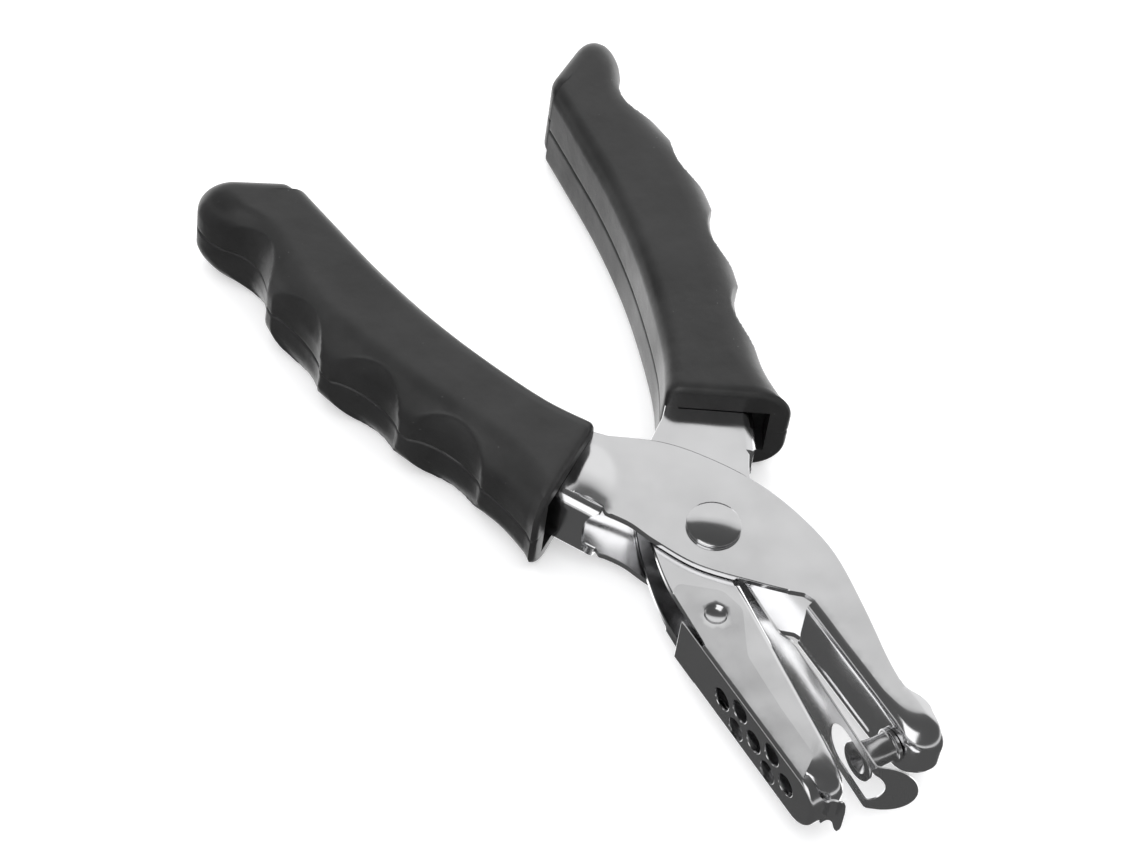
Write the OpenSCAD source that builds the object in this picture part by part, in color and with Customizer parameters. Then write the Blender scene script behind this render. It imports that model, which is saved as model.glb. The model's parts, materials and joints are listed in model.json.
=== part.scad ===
// Hand-held single-hole punch: two nested sheet-steel levers on one rivet, lying flat, open.
// Lengths are in millimetres.  +Z is up and parallel to the pivot, +Y runs from the jaws to the
// handles, and the origin is the bottom centre of the whole punch.  Every module is drawn about
// the middle of the pivot, and place() then moves it once into the part's own frame.

/* [Pivot] */
// Radius of the pivot rivet's shank
rivet_r = 2; // [1.8:0.1:2.2]
// Radius of the rivet's domed head
rivet_head_r = 4; // [3.4:0.1:4.4]
// Radial clearance of the running fits
fit_gap = 0.05; // [0.03:0.01:0.08]

/* [Levers] */
// Thickness of the lever steel
sheet_t = 1; // [0.9:0.05:1.05]
// Outer height of the punch lever's channel
lever_h = 10.8; // [10.8:0.1:11.2]
// Gap between the nested cheeks of the two levers
cheek_gap = 0.25; // [0.2:0.01:0.3]
// Angle between the die face and the Y axis while the punch is open
die_tilt = 8; // [7.8:0.1:8.3]

/* [Punch and die] */
// Radius of the hole that it punches
punch_r = 3; // [2.6:0.1:3]
// Distance from the pivot to the punch axis
punch_reach = 40.2; // [39.8:0.1:40.5]
// Radial clearance between punch and die
die_gap = 0.2; // [0.15:0.05:0.25]

/* [Stripper plate] */
// Thickness of the stripper's spring steel
strip_t = 0.35; // [0.3:0.05:0.45]
// Width of the stripper blade
strip_w = 10.2; // [9.6:0.2:10.4]

/* [Chip cover] */
// Thickness of the chip cover's sheet
cover_t = 0.35; // [0.3:0.05:0.4]
// Radius of the holes in the cover
cover_hole_r = 1.75; // [1.4:0.05:1.8]

/* [Grips] */
// Thickness of each grip, measured along the pivot
grip_h = 17; // [16:0.5:18]
// Radius of the grip's edges on the palm side
palm_edge_r = 2.6; // [2:0.2:3]
// Radius of the grip's edges on the finger side
finger_edge_r = 5.6; // [5:0.2:6]
// Depth of the finger grooves
groove_depth = 1; // [0.4:0.2:1.2]

/* [Hidden] */
$fn = 48;

// The pivot's mid-point, seen from the bottom centre of the punch
pivot_y = -20.4;
mid_z = grip_h / 2;

// Heights of the lever faces above the mid-plane: punch lever outside, die lever inside
punch_out = lever_h / 2;
punch_in = punch_out - sheet_t;
die_out = punch_in - cheek_gap;
die_in = die_out - sheet_t;

// How far a cutter runs past the face it cuts
spill = 1;
// Points on each stretch of a curve and on each fillet
steps = 5;

// ------------------------------------------------------------------ outlines

function turned(p, a) = [p[0] * cos(a) - p[1] * sin(a), p[0] * sin(a) + p[1] * cos(a)];
function reversed(p) = [for (i = [len(p) - 1 : -1 : 0]) p[i]];
function mirrored(p) = [for (q = p) [-q[0], q[1]]];
function without_first(p) = [for (i = [1 : len(p) - 1]) p[i]];
function without_last(p) = [for (i = [0 : len(p) - 2]) p[i]];

// A point on the smooth curve from b to c, with a and d as its outer neighbours
function curve_point(a, b, c, d, t) = 0.5 * (
    2 * b + (c - a) * t + (2 * a - 5 * b + 4 * c - d) * pow(t, 2) + (3 * b - a - 3 * c + d) * pow(t, 3)
);

// The smooth curve through the points p, at s from 0 (first point) to 1 (last point)
function along(p, s) = let (
    last = len(p) - 1,
    i = min(floor(s * last), last - 1)
) curve_point(p[max(i - 1, 0)], p[i], p[i + 1], p[min(i + 2, last)], s * last - i);

function curve(p) = let (n = (len(p) - 1) * steps) [for (k = [0 : n]) along(p, k / n)];

// An open path moved to its left by d
function beside(p, d) = [for (i = [0 : len(p) - 1])
    let (way = p[min(i + 1, len(p) - 1)] - p[max(i - 1, 0)])
    p[i] + d * [-way[1], way[0]] / norm(way)
];

// The band of width t on the left of a path
function band(p, t) = concat(p, reversed(beside(p, t)));

// The arc of radius r that rounds corner b between a and c
function fillet(a, b, c, r) = let (
    u = (a - b) / norm(a - b),
    v = (c - b) / norm(c - b),
    half = acos(u * v) / 2,
    centre = b + (u + v) / norm(u + v) * r / sin(half),
    from = b + u * r / tan(half) - centre,
    turn = (180 - 2 * half) * sign(v[0] * u[1] - v[1] * u[0])
) [for (k = [0 : steps]) centre + turned(from, turn * k / steps)];

// A closed outline from corners [x, y, radius], a radius of 0 leaving the corner sharp
function rounded(c) = [for (i = [0 : len(c) - 1])
    let (
        before = c[(i + len(c) - 1) % len(c)],
        after = c[(i + 1) % len(c)],
        corner = [c[i][0], c[i][1]]
    )
    each c[i][2] > 0
        ? fillet([before[0], before[1]], corner, [after[0], after[1]], c[i][2])
        : [corner]
];

// ------------------------------------------------------------------ shared places

// The left handle's two edges from the pivot side to its tail: the palm edge, and the web
handle_palm = curve([[-4.8, 20.9], [-9.6, 27], [-15.3, 40], [-18.6, 50], [-20.7, 61], [-22.2, 73]]);
handle_web = curve([[-14, 9.3], [-17.2, 15.2], [-21, 22.5], [-24.3, 30.5], [-27.6, 40], [-29.8, 50], [-31, 73]]);

// The edge of the left lever's cheek that curves past the pivot to the handle's web
belly = curve([[-5.4, -5.3], [-8.6, 1.2], [-10.4, 6], [-12.2, 9]]);

// The jaw's web of the punch lever, from near the pivot round the nose to its outer side
punch_web_x = 4.4;
nose_y = -45.2;
nose_x = 10.3;
web_top_y = -17.6;
web_end_y = -39.4;
punch_jaw_web = concat(
    [[punch_web_x, web_top_y]],
    fillet([punch_web_x, web_top_y], [punch_web_x, nose_y], [nose_x, nose_y], 2.2),
    fillet([punch_web_x, nose_y], [nose_x, nose_y], [nose_x, web_end_y], 3.2),
    [[nose_x, web_end_y]]
);

// The die lever's jaw, in the die's own frame: the die face is x = 0, the nose points to -y
die_top_y = -9.6;
die_cheek_end_y = -38.6;
die_nose_y = -45;

// The dimples that the chip cover swings on
dimple = [-7.7, -12.6];
dimple_r = 1.2;

// The chip cover's outer wall, and the ends of it
cover_x = -12.6;
cover_rear_y = -11.2;
cover_nose_y = -45;

function from_die(p) = turned(p, -die_tilt);

module place() {
    translate([0, pivot_y, mid_z]) children();
}

module die_frame() {
    rotate([0, 0, -die_tilt]) children();
}

// A plate on each side of the mid-plane, its outer face at height top
module cheeks(outline, top) {
    for (side = [0, 1])
        mirror([0, 0, side])
            translate([0, 0, top - sheet_t])
                linear_extrude(sheet_t) polygon(outline);
}

module wall(outline, top) {
    translate([0, 0, -top]) linear_extrude(2 * top) polygon(outline);
}

// A plate that stands on edge: its outline is given in y and z, and it lies from x to x + t
module standing_plate(outline, x, t) {
    translate([x, 0, 0]) rotate([90, 0, 90]) linear_extrude(t) polygon(outline);
}

// ------------------------------------------------------------------ levers

// Stamped channel with the right handle and the left jaw; its jaw's web is the die
module die_lever() {
    steel = "silver";
    inner_edge = -11.2;
    // The cheeks' edges stand just behind the die face
    edge_x = -0.1;
    outline = concat(
        mirrored(handle_web),
        mirrored(reversed(handle_palm)),
        without_first(curve([[4.8, 20.9], [-2.6, 15], [-6.6, 8.4], [-9.2, 1.2], [-10.9, -6], [inner_edge, -14]])),
        fillet([inner_edge, -20], [inner_edge, -38.4], from_die([edge_x, die_cheek_end_y]), 2),
        [from_die([edge_x, die_cheek_end_y])],
        fillet(from_die([edge_x, -30]), from_die([edge_x, die_top_y]), [5.4, -5.3], 2.4),
        mirrored(belly)
    );
    die_plate = rounded([
        [die_top_y - 1, die_out, 0], [die_nose_y, die_out, 3],
        [die_nose_y, -die_out, 3], [die_top_y - 1, -die_out, 0]
    ]);
    color(steel) place() difference() {
        union() {
            cheeks(outline, die_out);
            wall(band(mirrored(handle_web), sheet_t), die_out);
            die_frame() standing_plate(die_plate, -sheet_t, sheet_t);
        }
        cylinder(r = rivet_r + fit_gap, h = 2 * lever_h, center = true);
        translate(dimple) cylinder(r = dimple_r + fit_gap, h = 2 * lever_h, center = true);
        die_frame()
            translate([-sheet_t - fit_gap, -punch_reach, 0])
                rotate([0, 90, 0]) cylinder(r = punch_r + die_gap, h = sheet_t + spill);
    }
}

// Stamped channel with the left handle and the right jaw; its cheeks lie outside the die lever's
module punch_lever() {
    steel = "gainsboro";
    back = curve([
        [-4.8, 20.9], [1.7, 16.2], [6.2, 10.6], [10, 3.6], [12.2, -4],
        [12.9, -12], [11.4, -21.5], [9.2, -32], [9.2, -36.6], [nose_x, web_end_y]
    ]);
    outline = concat(
        handle_web,
        reversed(handle_palm),
        without_last(without_first(back)),
        reversed(punch_jaw_web),
        fillet([punch_web_x, web_top_y], [punch_web_x, -15.3], belly[0], 2),
        belly
    );
    color(steel) place() difference() {
        union() {
            cheeks(outline, punch_out);
            wall(band(handle_web, -sheet_t), punch_out);
            wall(band(punch_jaw_web, sheet_t), punch_out);
        }
        cylinder(r = rivet_r, h = 2 * lever_h, center = true);
        translate([punch_web_x - spill, -punch_reach, 0])
            rotate([0, 90, 0]) cylinder(r = punch_tail_r, h = sheet_t + 2 * spill);
    }
}

// ------------------------------------------------------------------ punch and pivot

punch_face_x = -1.6;
punch_tail_r = 1.6;

// Turned punch: hollow-ground cutting face, waisted body, shoulder, and a tail riveted in the web
module punch_pin() {
    reach = punch_web_x - punch_face_x;
    land = 1;
    waist = 2.15;
    profile = concat(
        [[punch_r - land, 0], [punch_r, 0], [punch_r, 0.5]],
        without_first(curve([[punch_r, 0.5], [2.6, 1.2], [2.3, 2.2], [waist, 3.4], [waist, reach - 0.7]])),
        [
            [2.6, reach - 0.6], [2.6, reach], [punch_tail_r, reach],
            [punch_tail_r, reach + sheet_t], [2.3, reach + sheet_t], [2, reach + sheet_t + 0.6],
            [0, reach + sheet_t + 0.6], [0, 1.3]
        ]
    );
    color("dimgray") place()
        translate([punch_face_x, -punch_reach, 0])
            rotate([0, 90, 0]) rotate_extrude() polygon(profile);
}

// Half of a rivet head's profile: an edge of height rim below a dome of height dome
function head_profile(r, rim, dome) = let (
    ball = (r * r + dome * dome) / (2 * dome),
    half = asin(r / ball)
) concat(
    [[0, 0], [r, 0]],
    [for (k = [0 : 2 * steps]) let (a = half * (1 - k / (2 * steps)))
        [ball * sin(a), rim + dome - ball * (1 - cos(a))]]
);

module pivot_rivet() {
    color("lightgray") place() {
        translate([0, 0, -punch_out]) cylinder(r = rivet_r, h = lever_h);
        translate([0, 0, punch_out]) rotate_extrude() polygon(head_profile(rivet_head_r, 0.6, 0.8));
        mirror([0, 0, 1]) translate([0, 0, punch_out])
            rotate_extrude() polygon(head_profile(rivet_head_r - 0.6, 0.3, 0.7));
    }
}

bush_r = 2.7;

// Sleeve round the rivet that keeps the die lever's cheeks apart
module pivot_bush() {
    color("darkgray") place() difference() {
        cylinder(r = bush_r, h = 2 * die_in, center = true);
        cylinder(r = rivet_r + fit_gap, h = lever_h, center = true);
    }
}

// Close-wound coil round the bush; one leg presses on the web of each handle
module return_spring() {
    wire_r = 0.45;
    coil_r = bush_r + wire_r + 0.3;
    turns = 3;
    pitch = 0.86;
    lowest = -die_in + wire_r + 0.15;
    leg_angle = 53.6;
    leg_length = 21.4;
    // The legs leave the rings a little inside their middle
    leg_step = 0.15;
    color("gray") place() {
        for (i = [0 : turns - 1])
            translate([0, 0, lowest + i * pitch])
                rotate_extrude() translate([coil_r, 0]) circle(r = wire_r);
        for (side = [0, 1])
            translate([0, 0, lowest + side * (turns - 1) * pitch])
                mirror([side, 0, 0])
                    rotate([0, 0, leg_angle])
                        translate([0, leg_step - coil_r, 0])
                            rotate([0, 90, 0]) cylinder(r = wire_r, h = leg_length);
    }
}

// ------------------------------------------------------------------ stripper plate

// Angle of the stripper's blade from the Y axis while the punch is open
strip_tilt = 3.6;
// Gap between the closed blade and the die face
strip_clear = 0.05;

// Spring-steel leaf: an eye round the bush, a neck, a blade with the punch's window, and a tongue
// folded away from the die
module stripper_plate() {
    fold_y = -44.6;
    fold_angle = 55;
    half = strip_w / 2;
    window_r = punch_r + 0.5;
    window_back_y = -37.4;
    window_front_y = fold_y + 1.4;
    // The tongue: its straight part, its half width, and how far the window's end is set back in it
    tongue_flat = 2;
    tongue_half = half - 0.1;
    notch = 2.8;
    // How far the tongue's root reaches into the blade
    bite = 0.08;
    eye_low = 0.4;
    eye_high = die_in - 0.3;
    neck_low = -die_in + 0.5;
    blade = rounded([
        [-bush_r, eye_high, 0], [-bush_r, eye_low, 0], [-6, eye_low, 0.6], [-6, neck_low, 0.6],
        [-18.5, neck_low, 1.5], [-22, -half, 4], [fold_y, -half, 0],
        [fold_y, half, 0], [-22, half, 4], [-18.5, eye_high, 1.5]
    ]);
    color("darkgray") place() rotate([0, 0, -strip_tilt]) {
        difference() {
            union() {
                translate([0, 0, eye_low])
                    cylinder(r = bush_r + fit_gap + strip_t, h = eye_high - eye_low);
                standing_plate(blade, strip_clear, strip_t);
            }
            cylinder(r = bush_r + fit_gap, h = 2 * lever_h, center = true);
            rotate([0, 90, 0]) for (y = [window_back_y, window_front_y])
                translate([0, y, 0]) cylinder(r = window_r, h = punch_r);
            translate([0, window_front_y, -window_r])
                cube([punch_r, window_back_y - window_front_y, 2 * window_r]);
        }
        translate([strip_clear + bite, fold_y + bite, 0]) rotate([0, 0, fold_angle]) difference() {
            union() {
                translate([0, -tongue_flat, -tongue_half])
                    cube([strip_t, tongue_flat, 2 * tongue_half]);
                translate([0, -tongue_flat, 0])
                    rotate([0, 90, 0]) cylinder(r = tongue_half, h = strip_t);
            }
            translate([-spill, fold_y - window_front_y + notch, 0])
                rotate([0, 90, 0]) cylinder(r = window_r, h = strip_t + 2 * spill);
            translate([-spill, 0, -lever_h]) cube([strip_t + 2 * spill, lever_h, 2 * lever_h]);
        }
    }
}

// ------------------------------------------------------------------ chip cover

// Thin channel that closes the open side of the die lever's jaw and keeps the punched chips
module chip_cover() {
    inside = die_out + 0.1;
    outside = inside + cover_t;
    lip_x = -8.9;
    lip_half = 3.7;
    neck_half = 2.4;
    lip_length = 2;
    hole_pitch = 4;
    hole_rise = 2.2;
    first_hole_y = -22.7;
    wall_outline = rounded([
        [cover_rear_y, outside, 0], [cover_nose_y, outside, 4],
        [cover_nose_y, -outside, 4], [cover_rear_y, -outside, 0]
    ]);
    flange = rounded([
        [cover_x, -16.4, 0], [-11.9, -15.6, 0.4], [-11, -6.4, 1], [-9.6, -5.6, 1.4], [-4.6, -9.6, 2.4],
        [-3.8, -13.6, 2], [-7.6, -20.6, 4], [-8.3, -30, 10], [-8.5, -38.4, 1.5], [cover_x, -41, 0]
    ]);
    color("dimgray") place() {
        difference() {
            standing_plate(wall_outline, cover_x, cover_t);
            for (i = [0 : 4])
                for (side = i % 2 == 0 ? [0] : [-1, 1])
                    translate([cover_x - spill, first_hole_y - i * hole_pitch, side * hole_rise])
                        rotate([0, 90, 0]) cylinder(r = cover_hole_r, h = cover_t + 2 * spill);
        }
        for (side = [0, 1]) mirror([0, 0, side]) {
            translate([0, 0, inside]) linear_extrude(cover_t) polygon(flange);
            translate([dimple[0], dimple[1], die_out - sheet_t / 2])
                cylinder(r = dimple_r, h = outside - die_out + sheet_t / 2);
        }
        translate([cover_x, cover_nose_y, -neck_half])
            cube([lip_x - cover_x, cover_t, 2 * neck_half]);
        translate([lip_x - cover_t, cover_nose_y - lip_length, -lip_half])
            cube([cover_t, lip_length + cover_t, 2 * lip_half]);
    }
}

// ------------------------------------------------------------------ grips

// The left grip's two sides, seen from above, from its mouth to its tail
grip_palm = [[-5.9, 22.4], [-10, 29.5], [-14, 40], [-17, 50], [-19.3, 61], [-20.8, 72], [-22, 82]];
grip_fingers = [
    [-21.9, 12.2], [-22.8, 21], [-26.2, 30.5], [-29, 38], [-31.6, 46], [-33.9, 54],
    [-35, 62], [-34.6, 70], [-34, 77.5], [-36.6, 84.5], [-36.4, 89.6]
];
grip_stations = 40;

// Depth of the finger grooves at s along the grip, four of them between its guard and its tail
function groove(s) = s < 0.1 || s > 0.78 ? 0 : groove_depth * (1 - cos(360 * (s - 0.1) / 0.17)) / 2;

// Upper half of a section of the grip: a point at u across and z up, for a width w
function grip_section(w) = let (top = grip_h / 2) concat(
    [[0, 0]],
    [for (k = [0 : steps]) let (a = 180 - 90 * k / steps)
        [palm_edge_r * (1 + cos(a)), top - palm_edge_r * (1 - sin(a))]],
    [for (k = [0 : steps]) let (a = 90 - 90 * k / steps)
        [w - finger_edge_r * (1 - cos(a)), top - finger_edge_r * (1 - sin(a))]],
    [[w, 0]]
);

function grip_points() = [for (i = [0 : grip_stations])
    let (
        s = i / grip_stations,
        palm = along(grip_palm, s),
        across = along(grip_fingers, s) - palm,
        way = across / norm(across)
    )
    for (p = grip_section(norm(across) - groove(s)))
        [palm[0] + way[0] * p[0], palm[1] + way[1] * p[0], p[1]]
];

// One half of the left grip, before the handle's pocket is cut
module grip_half() {
    ring = 2 * steps + 4;
    last = grip_stations * ring;
    polyhedron(
        grip_points(),
        concat(
            [[for (j = [ring - 1 : -1 : 0]) j]],
            [[for (j = [0 : ring - 1]) last + j]],
            [for (i = [0 : grip_stations - 1], j = [0 : ring - 1])
                let (a = i * ring + j, b = i * ring + (j + 1) % ring)
                each [[a, b, b + ring], [a, b + ring, a + ring]]]
        )
    );
}

// Left grip half round a handle of half height inner: up = 0 for the upper one, 1 for the lower one
module left_grip(up, inner) {
    mouth_recess = rounded([[-7.6, 21.7, 0], [-18.9, 14.5, 0], [-21.2, 18.6, 1], [-9.9, 25.6, 1]]);
    pocket = concat(handle_web, reversed(handle_palm));
    recess_top = punch_out + 1.3;
    mirror([0, 0, up]) difference() {
        grip_half();
        translate([0, 0, -spill]) linear_extrude(inner + spill) polygon(pocket);
        translate([0, 0, -spill]) linear_extrude(recess_top + spill) polygon(mouth_recess);
    }
}

module left_grip_upper() {
    color("#2b2b2d") place() left_grip(0, punch_out);
}

module left_grip_lower() {
    color("#2b2b2d") place() left_grip(1, punch_out);
}

module right_grip_upper() {
    color("#2b2b2d") place() mirror([1, 0, 0]) left_grip(0, die_out);
}

module right_grip_lower() {
    color("#2b2b2d") place() mirror([1, 0, 0]) left_grip(1, die_out);
}

die_lever();
punch_lever();
punch_pin();
pivot_rivet();
pivot_bush();
return_spring();
stripper_plate();
chip_cover();
left_grip_upper();
left_grip_lower();
right_grip_upper();
right_grip_lower();
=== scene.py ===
import json
import math

import bmesh
import bpy
import numpy as np
from mathutils import Matrix, Vector
from mathutils.geometry import delaunay_2d_cdt


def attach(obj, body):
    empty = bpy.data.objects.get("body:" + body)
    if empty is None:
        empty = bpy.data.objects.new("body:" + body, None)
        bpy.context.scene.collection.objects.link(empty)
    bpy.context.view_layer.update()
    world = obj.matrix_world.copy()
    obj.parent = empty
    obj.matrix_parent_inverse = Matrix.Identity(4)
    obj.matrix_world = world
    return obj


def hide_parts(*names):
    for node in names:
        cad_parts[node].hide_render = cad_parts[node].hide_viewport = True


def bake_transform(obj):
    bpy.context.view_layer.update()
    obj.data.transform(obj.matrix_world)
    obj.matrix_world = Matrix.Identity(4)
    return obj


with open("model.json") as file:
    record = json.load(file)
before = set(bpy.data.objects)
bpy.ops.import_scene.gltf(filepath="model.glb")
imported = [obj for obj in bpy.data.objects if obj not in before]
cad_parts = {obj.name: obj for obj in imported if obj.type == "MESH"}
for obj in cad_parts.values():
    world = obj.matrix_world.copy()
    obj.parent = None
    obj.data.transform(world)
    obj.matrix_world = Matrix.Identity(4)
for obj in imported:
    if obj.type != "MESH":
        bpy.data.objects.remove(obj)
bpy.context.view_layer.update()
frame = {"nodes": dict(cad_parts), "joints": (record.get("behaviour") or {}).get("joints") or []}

MM = 0.001
PIVOT = np.array(next(j["pos_m"] for j in frame["joints"] if j["name"] == "lever_pivot"))

# ---------------------------------------------------------------- sizes, as in the CAD

SHEET = 1.0
PUNCH_HALF = 5.4
DIE_HALF = 4.15
DIE_TILT = 8.0
PUNCH_R = 3.0
PUNCH_REACH = 40.2
PUNCH_FACE_X = -1.6
DIE_HOLE_R = 3.2
SHANK_R = 2.0
BUSH_R = 2.7
GRIP_HALF = 8.5
DIMPLE = (-7.7, -12.6)

# ---------------------------------------------------------------- how fine the meshes are

# Distances between points
FILL = 0.8
HANDLE_STEP = 1.2
JAW_STEP = 0.4
# Numbers of steps
BEND_STEPS = 12
WALL_STEPS = 16
ROUND_STEPS = 96
DOME_STEPS = 18
GRIP_ROWS = 150

# ---------------------------------------------------------------- outlines


def pts(*points):
    """Points as an array."""
    return np.array(points, float)


def turned(p, degrees):
    """Points turned anticlockwise about the pivot, as seen from above."""
    a = math.radians(degrees)
    c, s = math.cos(a), math.sin(a)
    return np.asarray(p, float) @ np.array([[c, s], [-s, c]])


def from_die(p):
    """A point of the die's own frame, whose face is x = 0, in the pivot's."""
    return turned(p, -DIE_TILT)


def mirrored(p):
    return np.asarray(p) * [-1, 1]


def spline(p, per=8):
    """The smooth curve through the points p."""
    p = np.asarray(p, float)
    last = len(p) - 1
    out = []
    for i in range(last):
        a, b, c, d = p[max(i - 1, 0)], p[i], p[i + 1], p[min(i + 2, last)]
        for t in np.arange(per) / per:
            out.append(0.5 * (2 * b + (c - a) * t + (2 * a - 5 * b + 4 * c - d) * t**2
                              + (3 * b - a - 3 * c + d) * t**3))
    out.append(p[last])
    return np.array(out)


def lengths(path):
    return np.concatenate([[0], np.cumsum(np.linalg.norm(np.diff(path, axis=0), axis=1))])


def at_length(path, s):
    """Points on a path at the distances s along it."""
    run = lengths(path)
    return np.stack([np.interp(s, run, path[:, k]) for k in range(path.shape[1])], axis=-1)


def resampled(path, step):
    total = lengths(path)[-1]
    return at_length(path, np.linspace(0, total, max(2, round(total / step) + 1)))


def left_of(path):
    """The unit normal on the left of a path, at each of its points."""
    way = np.gradient(path, axis=0)
    way /= np.linalg.norm(way, axis=1)[:, None]
    return np.stack([-way[:, 1], way[:, 0]], axis=1)


def fillet(a, b, c, r, n=8):
    """The arc of radius r that rounds corner b between a and c."""
    a, b, c = (np.asarray(q, float) for q in (a, b, c))
    u = (a - b) / np.linalg.norm(a - b)
    v = (c - b) / np.linalg.norm(c - b)
    half = math.acos(np.clip(u @ v, -1, 1)) / 2
    centre = b + (u + v) / np.linalg.norm(u + v) * r / math.sin(half)
    start = b + u * r / math.tan(half) - centre
    turn = (180 - 2 * math.degrees(half)) * np.sign(v[0] * u[1] - v[1] * u[0])
    return np.array([centre + turned(start, turn * k / n) for k in range(n + 1)])


def circle(x, y, r, n=40):
    a = np.linspace(0, 2 * math.pi, n, endpoint=False)
    return np.stack([x + r * np.cos(a), y + r * np.sin(a)], axis=1)


def inside(points, loop):
    """Which points lie in a closed outline."""
    x, y = points[:, 0], points[:, 1]
    x0, y0 = loop[:, 0], loop[:, 1]
    x1, y1 = np.roll(x0, -1), np.roll(y0, -1)
    hit = np.zeros(len(points), bool)
    for a, b, c, d in zip(x0, y0, x1, y1):
        if b != d:
            hit ^= ((b > y) != (d > y)) & (x < (c - a) * (y - b) / (d - b) + a)
    return hit


def filled(outline, holes=(), spacing=0):
    """Points and triangles that fill an outline, with a mesh of points spacing apart if it isn't 0.

    The mesh is of near-equilateral triangles, and it keeps clear of the rims.
    """
    row_height = spacing * 0.87
    rim_gap = spacing * 0.6
    loops = [np.asarray(outline)] + [np.asarray(h) for h in holes]
    points = [Vector(q) for loop in loops for q in loop]
    edges = []
    base = 0
    for loop in loops:
        n = len(loop)
        edges += [(base + i, base + (i + 1) % n) for i in range(n)]
        base += n
    if spacing:
        low, high = loops[0].min(0), loops[0].max(0)
        grid = np.array([(x + (row % 2) * spacing / 2, y)
                         for row, y in enumerate(np.arange(low[1], high[1], row_height))
                         for x in np.arange(low[0], high[0], spacing)])
        keep = inside(grid, loops[0])
        rim = np.concatenate([resampled(np.vstack([loop, loop[:1]]), spacing / 2) for loop in loops])
        near = np.array([np.min(np.sum((rim - g) ** 2, axis=1)) for g in grid])
        for hole in loops[1:]:
            keep &= ~inside(grid, hole)
        points += [Vector(g) for g in grid[keep & (near > rim_gap**2)]]
    found, _, faces, *_ = delaunay_2d_cdt(points, edges, [], 1, 1e-7)
    found = np.array([(v.x, v.y) for v in found])
    middles = np.array([found[list(f)].mean(0) for f in faces])
    keep = inside(middles, loops[0])
    for hole in loops[1:]:
        keep &= ~inside(middles, hole)
    return found, [f for f, k in zip(faces, keep) if k]


# ---------------------------------------------------------------- meshes


class Shell:
    """Vertices and faces of one piece, in millimetres about the pivot."""

    def __init__(self):
        self.verts = []
        self.faces = []

    def add(self, verts, faces):
        base = len(self.verts)
        self.verts += [tuple(v) for v in verts]
        self.faces += [[base + i for i in f] for f in faces]

    def plate(self, filling, place):
        """A filled outline, put in space by place(points)."""
        found, faces = filling
        self.add(place(found), faces)

    def grid(self, rows, closed=False):
        """Quads between rows of points, each row the same length."""
        rows = np.asarray(rows, float)
        n, m = rows.shape[:2]
        faces = []
        for i in range(n - 1):
            for j in range(m if closed else m - 1):
                k = (j + 1) % m
                faces.append((i * m + j, i * m + k, (i + 1) * m + k, (i + 1) * m + j))
        self.add(rows.reshape(-1, 3), faces)

    def fan(self, ring):
        self.add(ring, [range(len(ring))])


def on_pivot(points):
    return np.asarray(points, float) * MM + PIVOT


def applied(obj):
    """Puts an object's modifiers into its mesh."""
    bpy.context.view_layer.update()
    mesh = bpy.data.meshes.new_from_object(obj.evaluated_get(bpy.context.evaluated_depsgraph_get()))
    obj.modifiers.clear()
    obj.data = mesh
    return mesh


def surface(name, shell, weld, facing):
    """A shell's mesh, welded, with the face that lies furthest towards facing turned to look that way."""
    mesh = bpy.data.meshes.new(name)
    mesh.from_pydata([tuple(v) for v in on_pivot(shell.verts)], [], shell.faces)
    shape = bmesh.new()
    shape.from_mesh(mesh)
    bmesh.ops.remove_doubles(shape, verts=shape.verts, dist=weld * MM)
    bmesh.ops.recalc_face_normals(shape, faces=shape.faces)
    facing = Vector(facing)
    outermost = max(shape.faces, key=lambda f: f.calc_center_median() @ facing)
    if outermost.normal @ facing < 0:
        bmesh.ops.reverse_faces(shape, faces=shape.faces)
    shape.to_mesh(mesh)
    shape.free()
    return mesh


def thicken(obj, thickness):
    """Gives a sheet its thickness, behind its outer face."""
    solid = obj.modifiers.new("thickness", "SOLIDIFY")
    solid.thickness = thickness * MM
    solid.offset = -1
    solid.use_even_offset = False
    applied(obj)


def mark_rims(mesh, least):
    """Marks for the bevel the sharp edges that meet no edge shorter than least."""
    least_angle = math.radians(38)
    shape = bmesh.new()
    shape.from_mesh(mesh)
    weight = shape.edges.layers.float.new("bevel_weight_edge")
    roomy = {v: all(e.calc_length() > least for e in v.link_edges) for v in shape.verts}
    for e in shape.edges:
        sharp = len(e.link_faces) == 2 and e.calc_face_angle() > least_angle
        if sharp and roomy[e.verts[0]] and roomy[e.verts[1]]:
            e[weight] = 1
    shape.to_mesh(mesh)
    shape.free()


def wear(obj, edge):
    """Rounds the rims of a sheet by edge, where they have room for it."""
    mark_rims(obj.data, 2 * edge * MM)
    bevel = obj.modifiers.new("edge", "BEVEL")
    bevel.width = edge * MM
    bevel.segments = 2
    bevel.limit_method = "WEIGHT"
    bevel.loop_slide = False
    bevel.use_clamp_overlap = False
    applied(obj)


def drill(obj, cutter):
    """Cuts the cutter's shape out of an object."""
    cut = obj.modifiers.new("hole", "BOOLEAN")
    cut.operation = "DIFFERENCE"
    cut.solver = "EXACT"
    cut.object = cutter
    applied(obj)
    bpy.data.objects.remove(cutter)


def shade(obj, angle, by_area):
    """Smooth shading up to a sharp angle, and with by_area flat faces that stay flat."""
    mesh = obj.data
    mesh.polygons.foreach_set("use_smooth", [True] * len(mesh.polygons))
    mesh.set_sharp_from_angle(angle=math.radians(angle))
    if by_area:
        even = obj.modifiers.new("even", "WEIGHTED_NORMAL")
        even.keep_sharp = True
        even.weight = 100
        applied(obj)


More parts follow.
